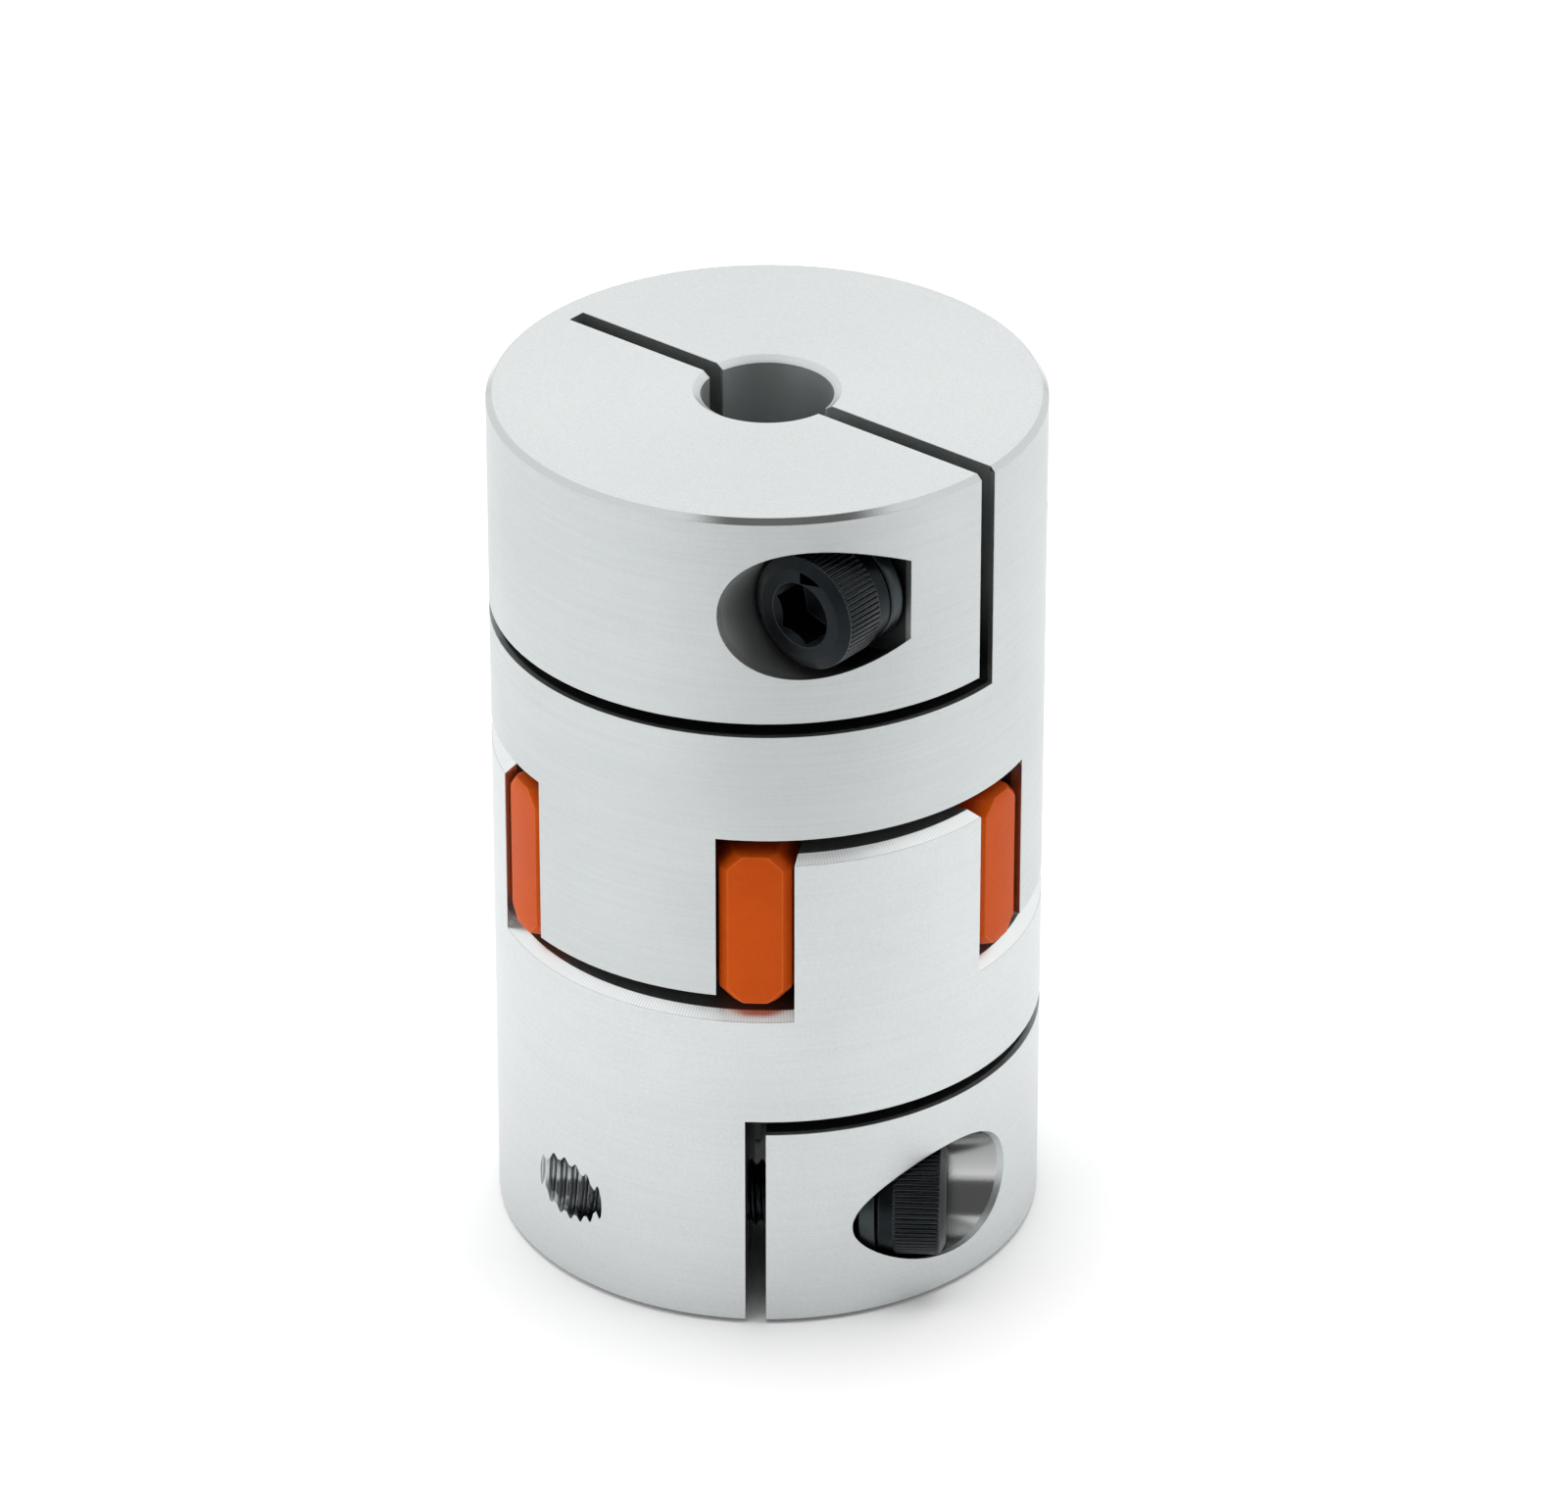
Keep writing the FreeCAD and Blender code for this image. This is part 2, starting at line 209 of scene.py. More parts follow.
# ---------------------------------------------------------------- mesh building
def ring(mesh, count, point):
    return [mesh.verts.new(point(FULL_TURN * index / count)) for index in range(count)]


def turned_ring(mesh, count, radius, height):
    """A ring about Z whose radius is a number or a function of the angle."""
    radius_at = radius if callable(radius) else lambda angle: radius

    def point(angle):
        reach = radius_at(angle)
        return Vector((reach * math.cos(angle), reach * math.sin(angle), height))

    return ring(mesh, count, point)


def bridge(mesh, first, second):
    """Faces between two closed rings, one of which may have several points to the other's one."""
    count = min(len(first), len(second))
    step_a, step_b = len(first) // count, len(second) // count
    for index in range(count):
        side_a = [first[(index * step_a + k) % len(first)] for k in range(step_a + 1)]
        side_b = [second[(index * step_b + k) % len(second)] for k in range(step_b + 1)]
        mesh.faces.new(side_a + side_b[::-1])


def bridge_all(mesh, rings):
    for first, second in zip(rings, rings[1:]):
        bridge(mesh, first, second)


def cap(mesh, edge_ring, centre):
    middle = mesh.verts.new(centre)
    for index, vertex in enumerate(edge_ring):
        mesh.faces.new((vertex, edge_ring[(index + 1) % len(edge_ring)], middle))


def make_piece(name, mesh, place, material, body, crease=35):
    """Finish a mesh, put it in its place and let it stand for the CAD node of the same body."""
    bmesh.ops.recalc_face_normals(mesh, faces=mesh.faces)
    for face in mesh.faces:
        face.smooth = True
    for edge in mesh.edges:
        edge.smooth = edge.calc_face_angle(0) < math.radians(crease)
    data = bpy.data.meshes.new(name)
    mesh.to_mesh(data)
    mesh.free()
    data.transform(place)
    data.materials.append(material)
    piece = bpy.data.objects.new(name, data)
    bpy.context.scene.collection.objects.link(piece)
    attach(piece, body)
    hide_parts(body)
    return piece


# ---------------------------------------------------------------- clamp screws
def thread_radius(height, angle):
    """Radius of the screw's thread, 60 degree flanks, in step with the groove in the hub."""
    phase = (height / THREAD_PITCH - angle / FULL_TURN) % 1
    off_crest = min(phase, 1 - phase) * THREAD_PITCH
    flank = THREAD_CREST - max(0, off_crest - THREAD_CREST_HALF) / math.tan(math.radians(30))
    radius = max(THREAD_CORE, flank) if height < THREAD_END else THREAD_CORE
    return min(radius, TIP_RADIUS + height)


def shank_rings(mesh, length):
    rows = round(length / THREAD_ROW)
    rings = []
    for row in range(rows + 1):
        height = length * row / rows
        rings.append(turned_ring(mesh, 48, lambda angle: thread_radius(height, angle), height))
    return rings


def knurl_radius(head_radius):
    """Radius of a head with straight V grooves, for rings of four points to a rib."""
    def radius(angle):
        in_rib = round(angle / FULL_TURN * 4 * KNURL_RIBS) % 4
        return head_radius - (KNURL_DEPTH if in_rib == 0 else 0)
    return radius


def head_rings(mesh, foot, head_radius):
    """The head's outside, from its underside up to its flat top."""
    ribbed = knurl_radius(head_radius)
    shoulder_round = 0.06 * MM
    profile = [
        (COLLAR_RADIUS - HEAD_EDGE, 0),
        (COLLAR_RADIUS, HEAD_EDGE),
        (COLLAR_RADIUS, COLLAR_HEIGHT - shoulder_round),
        (COLLAR_RADIUS + shoulder_round, COLLAR_HEIGHT),
        (ribbed, COLLAR_HEIGHT + KNURL_RAMP),
        (ribbed, KNURL_TOP - KNURL_RAMP),
        (head_radius - 0.5 * shoulder_round, KNURL_TOP),
        (head_radius - 0.5 * shoulder_round, HEAD_SHOULDER),
        (head_radius - 2.0 * shoulder_round, HEAD_SHOULDER + shoulder_round),
        (HEAD_TOP_RADIUS + shoulder_round, HEAD_HEIGHT - 0.7 * shoulder_round),
        (HEAD_TOP_RADIUS, HEAD_HEIGHT - 0.2 * shoulder_round),
        (HEAD_TOP_RADIUS - shoulder_round, HEAD_HEIGHT),
    ]
    return [turned_ring(mesh, 4 * KNURL_RIBS, radius, foot + rise) for radius, rise in profile]


def socket_rings(mesh, top):
    """The hexagon socket: a round countersunk mouth that runs out on six flat walls."""
    def hexagon(angle):
        return SOCKET_HALF_FLATS / math.cos((angle - SOCKET_TURN) % (math.pi / 3) - math.pi / 6)

    def mouth_edge(angle):
        reach = hexagon(angle)
        rise = top - (SOCKET_MOUTH_RADIUS - reach)
        return Vector((reach * math.cos(angle), reach * math.sin(angle), rise))

    return [
        turned_ring(mesh, 60, SOCKET_MOUTH_RADIUS, top),
        ring(mesh, 60, mouth_edge),
        turned_ring(mesh, 60, hexagon, top - SOCKET_DEPTH),
    ]


def add_clamp_screw(end, material):
    low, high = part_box("lower_clamp_screw")
    head_radius = (high.z - low.z) / 2
    shank = high.x - low.x - HEAD_HEIGHT
    top = shank + HEAD_HEIGHT
    mesh = bmesh.new()
    shank_part = shank_rings(mesh, shank)
    cap(mesh, shank_part[0], Vector((0, 0, 0)))
    bridge_all(mesh, shank_part)
    head_part = head_rings(mesh, shank, head_radius)
    bridge(mesh, shank_part[-1], head_part[0])
    bridge_all(mesh, head_part)
    socket_part = socket_rings(mesh, top)
    bridge(mesh, head_part[-1], socket_part[0])
    bridge_all(mesh, socket_part)
    cap(mesh, socket_part[-1], Vector((0, 0, top - SOCKET_DEPTH - SOCKET_CONE)))
    name = end + "_clamp_screw"
    make_piece(name + "_knurled", mesh, screw_space(end, low.x), material, name)


# ---------------------------------------------------------------- lock washers
def rounded_section(width, height, rounding):
    """Points round a rectangle with rounded corners, its lower left corner at the origin."""
    points = []
    for corner, (x, z) in enumerate(((0, 0), (1, 0), (1, 1), (0, 1))):
        centre_x = rounding + x * (width - 2 * rounding)
        centre_z = rounding + z * (height - 2 * rounding)
        for step in range(4):
            turn = math.pi + math.pi / 2 * (corner + step / 3)
            points.append((centre_x + rounding * math.cos(turn), centre_z + rounding * math.sin(turn)))
    return points


def add_lock_washer(end, material):
    low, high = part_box("lower_lock_washer")
    rise = high.x - low.x - WASHER_THICKNESS
    section = rounded_section(WASHER_OUTER_RADIUS - WASHER_INNER_RADIUS, WASHER_THICKNESS, WASHER_ROUNDING)
    mesh = bmesh.new()
    steps = 72
    rings = []
    for step in range(steps + 1):
        along = step / steps
        turn = FULL_TURN * WASHER_TURNS * along
        vertices = []
        for across, up in section:
            reach = WASHER_INNER_RADIUS + across
            height = up + rise * along
            vertices.append(mesh.verts.new((reach * math.cos(turn), reach * math.sin(turn), height)))
        rings.append(vertices)
    bridge_all(mesh, rings)
    mesh.faces.new(rings[0])
    mesh.faces.new(rings[-1])
    name = end + "_lock_washer"
    make_piece(name + "_coil", mesh, screw_space(end, low.x), material, name)


# ---------------------------------------------------------------- spider
def arm_half_width(outwards):
    """Half an arm's width at a distance from the axis: a curve through three given widths."""
    total = 0
    for index, (place, width) in enumerate(ARM_HALF_WIDTHS):
        share = 1
        for other, (other_place, _) in enumerate(ARM_HALF_WIDTHS):
            if other != index:
                share *= (outwards - other_place) / (place - other_place)
        total += share * width
    return total


def rounded_inset(height, rounding):
    """How far an edge with a rounding stands back at a height over the face it bounds."""
    if height >= rounding:
        return 0
    return rounding - math.sqrt(rounding ** 2 - (rounding - height) ** 2)


def arm_outline(flank_inset, tip_inset, ring_inset):
    """One arm and the ring up to the next, as (outwards, sideways) points about the arm's line."""
    root = RING_OUTER_RADIUS - ring_inset
    tip = SPIDER_RADIUS - tip_inset
    corner = tip - ARM_TIP_BEVEL
    flank = []
    for step in range(8):
        outwards = root + (corner - root) * step / 7
        flank.append((outwards, arm_half_width(outwards) - flank_inset))
    tip_half = flank[-1][1] - ARM_TIP_BEVEL
    end = []
    for step in range(5):
        sideways = tip_half * (step - 2) / 2
        end.append((math.sqrt(tip ** 2 - sideways ** 2), sideways))
    points = [(outwards, -sideways) for outwards, sideways in flank] + end + flank[::-1]
    start_angle = math.atan2(flank[0][1], flank[0][0])
    pitch = FULL_TURN / SPIDER_ARMS
    radius = math.hypot(*flank[0])
    for step in (1, 2, 3):
        angle = start_angle + (pitch - 2 * start_angle) * step / 4
        reach = radius + (root - radius) * min(step, 4 - step) / 2
        points.append((reach * math.cos(angle), reach * math.sin(angle)))
    return points


def star_ring(mesh, height, flank_inset, tip_inset, ring_inset):
    outline = arm_outline(flank_inset, tip_inset, ring_inset)
    vertices = []
    for arm in range(SPIDER_ARMS):
        turn = FULL_TURN * arm / SPIDER_ARMS - math.pi / 2
        for outwards, sideways in outline:
            x = outwards * math.cos(turn) - sideways * math.sin(turn)
            y = outwards * math.sin(turn) + sideways * math.cos(turn)
            vertices.append(mesh.verts.new((x, y, height)))
    return vertices


def hole_ring(mesh, height, inset, like):
    """A ring of the centre hole with its points at the same angles as those of another ring."""
    vertices = []
    for vertex in like:
        out = Vector((vertex.co.x, vertex.co.y, 0)).normalized() * (RING_INNER_RADIUS + inset)
        vertices.append(mesh.verts.new((out.x, out.y, height)))
    return vertices


def add_nub(mesh, arm, side, reach):
    """A small round-topped stud on the ring, which keeps the spider clear of a hub's face."""
    turn = FULL_TURN * arm / SPIDER_ARMS - math.pi / 2
    place = Vector((NUB_CIRCLE * math.cos(turn), NUB_CIRCLE * math.sin(turn), 0))
    foot = SPIDER_THICKNESS / 2 - RING_ROUNDING
    rings = [turned_ring(mesh, 24, NUB_RADIUS, foot)]
    for step in range(5):
        down = NUB_ROUNDING * (1 - math.sin(math.pi / 2 * step / 4))
        radius = NUB_RADIUS - NUB_ROUNDING * (1 - math.cos(math.pi / 2 * step / 4))
        rings.append(turned_ring(mesh, 24, radius, reach - down))
    bridge_all(mesh, rings)
    cap(mesh, rings[0], Vector((0, 0, foot)))
    cap(mesh, rings[-1], Vector((0, 0, reach)))
    for vertex in [vertex for ring_ in rings for vertex in ring_] + mesh.verts[-2:]:
        vertex.co.z *= side
        vertex.co += place


def add_spider(material):
    low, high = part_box("spider")
    half = SPIDER_THICKNESS / 2
    rounding = ARM_ROUNDING
    bevel_profile = [
        (ARM_EDGE_BEVEL + rounding, 0),
        (ARM_EDGE_BEVEL, 0.2 * rounding),
        (ARM_EDGE_BEVEL - rounding, rounding),
        (rounding, ARM_EDGE_BEVEL - rounding),
        (0.2 * rounding, ARM_EDGE_BEVEL),
        (0, ARM_EDGE_BEVEL + rounding),
    ]
    mesh = bmesh.new()
    outside = []
    for side in (-1, 1):
        for inset, rise in bevel_profile[::side * -1]:
            tip_inset = rounded_inset(rise, rounding)
            ring_inset = rounded_inset(rise, RING_ROUNDING)
            outside.append(star_ring(mesh, side * (half - rise), inset, tip_inset, ring_inset))
    hole = []
    for side in (1, -1):
        for rise in (0, 0.3 * RING_ROUNDING, RING_ROUNDING)[::side]:
            inset = rounded_inset(rise, RING_ROUNDING)
            hole.append(hole_ring(mesh, side * (half - rise), inset, outside[0]))
    bridge_all(mesh, outside + hole + outside[:1])
    for arm in range(SPIDER_ARMS):
        for side in (-1, 1):
            add_nub(mesh, arm, side, (high.z - low.z) / 2)
    place = Matrix.Translation((0, 0, (low.z + high.z) / 2))
    make_piece("spider_moulded", mesh, place, material, "spider")


# ---------------------------------------------------------------- materials
class Shader:
    """A material's or the world's node tree. Values are numbers, colours or other nodes' outputs."""

    def __init__(self, owner):
        owner.use_nodes = True
        self.owner = owner
        self.tree = owner.node_tree
        self.surface = self.tree.nodes.get("Principled BSDF")

    def feed(self, socket, value):
        if isinstance(value, bpy.types.NodeSocket):
            self.tree.links.new(value, socket)
        else:
            socket.default_value = value

    def node(self, kind, inputs=(), **settings):
        made = self.tree.nodes.new(kind)
        for key, value in settings.items():
            setattr(made, key, value)
        for key, value in dict(inputs).items():
            self.feed(made.inputs[key], value)
        return made

    def math(self, operation, *values):
        made = self.node("ShaderNodeMath", operation=operation)
        for socket, value in zip(made.inputs, values):
            self.feed(socket, value)
        return made.outputs[0]

    def object_place(self):
        return self.node("ShaderNodeTexCoord").outputs["Object"]

    def split(self, vector):
        made = self.node("ShaderNodeSeparateXYZ", {"Vector": vector})
        return made.outputs["X"], made.outputs["Y"], made.outputs["Z"]

    def join(self, x, y, z):
        return self.node("ShaderNodeCombineXYZ", {"X": x, "Y": y, "Z": z}).outputs[0]

    def distance(self, a, b):
        return self.math("SQRT", self.math("ADD", self.math("POWER", a, 2), self.math("POWER", b, 2)))

    def over(self, value, edge, softness=0.02 * MM):
        """1 where a value is past an edge, 0 below it."""
        made = self.node("ShaderNodeMapRange", {
            "Value": value,
            "From Min": edge - softness,
            "From Max": edge + softness,
        })
        return made.outputs["Result"]

    def under(self, value, edge, softness=0.02 * MM):
        return self.math("SUBTRACT", 1.0, self.over(value, edge, softness))

    def all_of(self, *shares):
        total = shares[0]
        for share in shares[1:]:
            total = self.math("MULTIPLY", total, share)
        return total

    def remap(self, value, low, high, to_low=0.0, to_high=1.0):
        made = self.node("ShaderNodeMapRange", {
            "Value": value,
            "From Min": low,
            "From Max": high,
            "To Min": to_low,
            "To Max": to_high,
        })
        return made.outputs["Result"]

    def noise(self, place, scale, detail=3.0, roughness=0.55):
        made = self.node("ShaderNodeTexNoise", {
            "Vector": place,
            "Scale": scale,
            "Detail": detail,
            "Roughness": roughness,
        })
        return made.outputs["Fac"]

    def mix(self, share, first, second):
        made = self.node("ShaderNodeMix", data_type="RGBA")
        self.feed(made.inputs["Factor"], share)
        self.feed(made.inputs["A"], first)
        self.feed(made.inputs["B"], second)
        return made.outputs["Result"]

    def mix_value(self, share, first, second):
        made = self.node("ShaderNodeMix", data_type="FLOAT")
        self.feed(made.inputs["Factor"], share)
        self.feed(made.inputs["A"], first)
        self.feed(made.inputs["B"], second)
        return made.outputs["Result"]

    def edges(self, width):
        """Towards 1 on sharp outer and inner edges, from how far a rounded normal turns away."""
        rounded = self.node("ShaderNodeBevel", {"Radius": width}, samples=4)
        true_normal = self.node("ShaderNodeNewGeometry").outputs["Normal"]
        made = self.node("ShaderNodeVectorMath", operation="DOT_PRODUCT")
        self.feed(made.inputs[0], rounded.outputs[0])
        self.feed(made.inputs[1], true_normal)
        return rounded.outputs[0], self.remap(made.outputs["Value"], 0.995, 0.8)

    def bump(self, height, distance, strength=1.0, normal=None):
        made = self.node("ShaderNodeBump", {"Height": height, "Distance": distance, "Strength": strength})
        if normal is not None:
            self.feed(made.inputs["Normal"], normal)
        return made.outputs["Normal"]

    def finish(self, **values):
        """Set the surface's sockets, written with underscores for spaces."""
        for key, value in values.items():
            self.feed(self.surface.inputs[key.replace("_", " ")], value)
        return self.owner


def colour(red, green, blue):
    return (red, green, blue, 1.0)


def new_shader(name):
    return Shader(bpy.data.materials.new(name))


def hub_regions(shader, end, place):
    """How far each place of a hub belongs to each of its surfaces, from 0 to 1."""
    to_clamp = clamp_space(end).inverted()
    clamp_place = shader.node("ShaderNodeMapping", {
        "Vector": place,
        "Location": to_clamp.translation,
        "Rotation": to_clamp.to_euler(),
    }).outputs[0]
    along, across, inwards = shader.split(clamp_place)
    x, y, _ = shader.split(place)
    radius = shader.distance(x, y)
    low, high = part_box("lower_clamp_screw")
    beside_screw = shader.math("SUBTRACT", across, (low.y + high.y) / 2)
    above_screw = shader.math("SUBTRACT", inwards, (low.z + high.z) / 2)
    from_screw = shader.distance(beside_screw, above_screw)
    pocket_radius, pocket_shift = POCKETS[end]
    from_pocket = shader.distance(shader.math("ADD", beside_screw, pocket_shift), above_screw)
    outer_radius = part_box("lower_hub")[1].x

    side = shader.over(radius, outer_radius - SIDE_EDGE)
    end_face = shader.under(inwards, END_FACE_DEPTH)
    bore = shader.under(radius, BORE_EDGE)
    inside = shader.math("SUBTRACT", 1.0, shader.math("MAXIMUM", side, end_face))
    pocket = shader.all_of(
        inside,
        shader.under(from_pocket, pocket_radius + POCKET_MARGIN),
        shader.over(along, POCKET_DEPTH),
    )
    slits = shader.all_of(
        inside,
        shader.under(inwards, CLAMP_DEPTH),
        shader.math("SUBTRACT", 1.0, pocket),
        shader.math("SUBTRACT", 1.0, bore),
    )
    inner_face = shader.all_of(
        shader.over(inwards, HUB_BODY - INNER_BEVEL_DEPTH),
        shader.under(inwards, HUB_BODY),
    )
    return {
        "side": side,
        "end_face": end_face,
        "bore": bore,
        "pocket": pocket,
        # painted shade at the pocket's seat, behind the screw head
        "seat_painted_shade": shader.all_of(
            pocket,
            shader.remap(along, SEAT_SHADE_START, SEAT_SHADE_FULL, 0.0, SEAT_SHADE),
        ),
        "slits": slits,
        # painted shade: the slits grow darker towards the level slit
        "slit_painted_shade": shader.all_of(
            slits,
            shader.remap(inwards, LEVEL_SLIT_DEPTH - SLIT_SHADE_RISE, LEVEL_SLIT_DEPTH, *SLIT_SHADES),
        ),
        "tapped_hole": shader.all_of(slits, shader.under(from_screw, TAPPED_HOLE_EDGE)),
        "end_bevel": shader.all_of(side, shader.under(inwards, END_BEVEL)),
        "inner_bevel": shader.all_of(
            shader.math("MAXIMUM", inner_face, shader.over(inwards, JAW_END - INNER_BEVEL_DEPTH)),
            shader.over(radius, outer_radius - INNER_BEVEL_WIDTH),
            shader.under(radius, outer_radius - INNER_BEVEL_MARGIN),
        ),
        # between the jaws: rougher there, and darkened with painted shade in the hub's colour
        "between_jaws": shader.all_of(
            shader.over(inwards, HUB_BODY - INNER_BEVEL_DEPTH),
            shader.under(radius, outer_radius - INNER_BEVEL_WIDTH),
        ),
    }


def tool_marks(shader, place, end_face):
    """Fine rings left by turning: up and down the side, and outwards over the end face."""
    x, y, z = shader.split(place)
    radius = shader.distance(x, y)
    side_marks = shader.noise(shader.join(
        shader.math("MULTIPLY", x, SIDE_MARK_STRETCH),
        shader.math("MULTIPLY", y, SIDE_MARK_STRETCH),
        shader.math("MULTIPLY", z, MARKS_PER_METRE),
    ), 1.0, 2.0)
    face_marks = shader.noise(shader.join(
        shader.math("MULTIPLY", shader.math("DIVIDE", x, radius), FACE_MARK_STRETCH),
        shader.math("MULTIPLY", shader.math("DIVIDE", y, radius), FACE_MARK_STRETCH),
        shader.math("MULTIPLY", radius, MARKS_PER_METRE),
    ), 1.0, 2.0)
    return shader.mix_value(end_face, side_marks, face_marks)


def bevel_chatter_and_painted_highlight(shader, place, clouds):
    """Tone of the inner bevels: brightened as a painted highlight, with the tool's chatter round the edge."""
    x, y, _ = shader.split(place)
    waves = shader.math("SINE", shader.math("MULTIPLY", shader.math("ARCTAN2", y, x), CHATTER_MARKS))
    return shader.mix(
        shader.math("MULTIPLY", shader.remap(waves, -1.0, 1.0), clouds),
        colour(0.95, 0.97, 0.97),
        colour(0.55, 0.57, 0.57),
    )


def hub_tone(shader, end, place, regions, shaded_side_tone, textures):
    """Colour of the bare aluminium, region by region, with painted shade on the sides, in the slits, between
    the jaws, at the pocket's seat and in the tapped hole, and painted highlights on the inner bevels and the
    edges.
    """
    marks, grain, clouds, edge = textures
    tone = shader.mix(
        shader.remap(clouds, 0.3, 0.7),
        colour(0.770, 0.802, 0.802),
        colour(0.800, 0.830, 0.828),
    )
    # painted shade on the side
    tone = shader.mix(regions["side"], tone, shaded_side_tone)
    tone = shader.mix(shader.remap(grain, 0.35, 0.65, 0.0, 0.16), tone, colour(0.42, 0.445, 0.445))
    tone = shader.mix(shader.remap(marks, 0.35, 0.65, 0.0, 0.06), tone, colour(0.95, 0.96, 0.96))
    bright = POCKET_BRIGHTNESS[end]
    # painted shade for the slits and for the gaps between the jaws
    painted_gap_shade = colour(0.10, 0.11, 0.105)
    layers = (
        ("bore", 1.0, colour(0.66, 0.69, 0.69)),
        ("slit_painted_shade", 1.0, painted_gap_shade),
        # painted shade between the jaws
        ("between_jaws", 0.75, painted_gap_shade),
        ("pocket", 0.85, colour(bright, bright, bright)),
        # painted shade at the pocket's seat
        ("seat_painted_shade", 1.0, colour(0.03, 0.033, 0.035)),
        # painted shade in the tapped hole
        ("tapped_hole", 0.6, colour(0.16, 0.17, 0.18)),
        ("end_bevel", 1.0, colour(0.60, 0.62, 0.62)),
        # painted highlight on the inner bevels, over the tool's chatter
        ("inner_bevel", 1.0, bevel_chatter_and_painted_highlight(shader, place, clouds)),
    )
    for name, share, layer in layers:
        tone = shader.mix(shader.math("MULTIPLY", regions[name], share), tone, layer)
    # burnished edges, brightened further as a painted highlight
    return shader.mix(shader.math("MULTIPLY", edge, 0.5), tone, colour(0.92, 0.94, 0.94))


def hub_roughness(shader, end, regions, grain, clouds):
    roughness = shader.remap(shader.math("ADD", grain, clouds), 0.7, 1.3, 0.36, 0.46)
    layers = (
        ("pocket", POCKET_ROUGHNESS[end]),
        ("slits", 0.34),
        ("tapped_hole", 0.2),
        ("bore", 0.5),
        ("between_jaws", 0.5),
        ("end_bevel", 0.15),
        ("inner_bevel", 0.32),
    )
    for name, value in layers:
        roughness = shader.mix_value(regions[name], roughness, value)
    return roughness


def leaning_normal(shader, place, normal, share):
    """A normal that leans away from the axis, for a rounding too fine for the mesh."""
    x, y, _ = shader.split(place)
    radius = shader.distance(x, y)
    outwards = shader.join(shader.math("DIVIDE", x, radius), shader.math("DIVIDE", y, radius), 0.0)
    tilt = shader.node("ShaderNodeVectorMath", {"Vector": outwards}, operation="SCALE")
    shader.feed(tilt.inputs["Scale"], shader.math("MULTIPLY", share, INNER_BEVEL_TILT))
    tilted = shader.node("ShaderNodeVectorMath", {0: normal, 1: tilt.outputs[0]}, operation="ADD")
    leaning = shader.node("ShaderNodeVectorMath", {0: tilted.outputs[0]}, operation="NORMALIZE")
    return leaning.outputs[0]


def hub_material(end, shaded_side_tone):
    """Turned aluminium: ring-wise tool marks, milled slits and pocket, reamed bore, burnished edges with a
    painted highlight, and painted shade in its hollows and on its sides.
    """
    shader = new_shader(end + "_hub_turned_aluminium")
    place = shader.object_place()
    regions = hub_regions(shader, end, place)
    marks = tool_marks(shader, place, regions["end_face"])
    grain = shader.noise(place, GRAIN_SCALE, 2.0, 0.7)
    clouds = shader.noise(place, CLOUD_SCALE, 4.0, 0.6)
    rounded_normal, edge = shader.edges(BURNISHED_AND_HIGHLIGHT_EDGE)
    mark_height = shader.mix_value(regions["end_face"], *MARK_HEIGHTS)
    height = shader.math(
        "ADD",
        shader.math("MULTIPLY", marks, mark_height),
        shader.math("MULTIPLY", grain, 0.6),
    )
    normal = leaning_normal(shader, place, rounded_normal, regions["inner_bevel"])
    return shader.finish(
        Base_Color=hub_tone(shader, end, place, regions, shaded_side_tone, (marks, grain, clouds, edge)),
        Metallic=1.0,
        Roughness=hub_roughness(shader, end, regions, grain, clouds),
        Normal=shader.bump(height, TEXTURE_DEPTH, 1.0, normal),
        Tangent=shader.node("ShaderNodeTangent", direction_type="RADIAL", axis="Z").outputs[0],
        Anisotropic=0.35,
        Anisotropic_Rotation=0.25,
    )


def spider_material():
    """Moulded polyurethane: fine mould texture, slight marbling, painted shade towards the inside, and
    painted highlights on the edges.
    """
    shader = new_shader("spider_orange_polyurethane")
    place = shader.object_place()
    marbling = shader.noise(place, 140.0, 4.0, 0.6)
    texture = shader.noise(place, 3200.0, 3.0, 0.6)
    x, y, _ = shader.split(place)
    # painted shade, deeper in from the arms' tips
    painted_inner_shade = shader.remap(shader.distance(x, y), SPIDER_RADIUS - 0.5 * MM, SPIDER_RADIUS - 1.3 * MM, 0.0, 0.65)
    rounded_normal, edge = shader.edges(0.2 * MM)
    tone = shader.mix(
        shader.remap(marbling, 0.3, 0.7),
        colour(0.57, 0.074, 0.002),
        colour(0.64, 0.090, 0.004),
    )
    tone = shader.mix(shader.remap(texture, 0.35, 0.65, 0.0, 0.12), tone, colour(0.40, 0.045, 0.002))
    # painted shade towards the inside
    tone = shader.mix(painted_inner_shade, tone, colour(0.36, 0.024, 0.001))
    # painted highlight along the edges
    tone = shader.mix(shader.math("MULTIPLY", edge, 0.8), tone, colour(0.90, 0.30, 0.09))
    roughness = shader.remap(shader.math("ADD", marbling, texture), 0.7, 1.3, 0.38, 0.5)
    return shader.finish(
        Base_Color=tone,
        Roughness=roughness,
        Normal=shader.bump(texture, 0.006 * MM, 1.0, rounded_normal),
        Subsurface_Weight=0.08,
        Subsurface_Radius=(0.9 * MM, 0.25 * MM, 0.08 * MM),
        Subsurface_Scale=1.0,
        IOR=1.48,
        Specular_IOR_Level=0.08,
    )


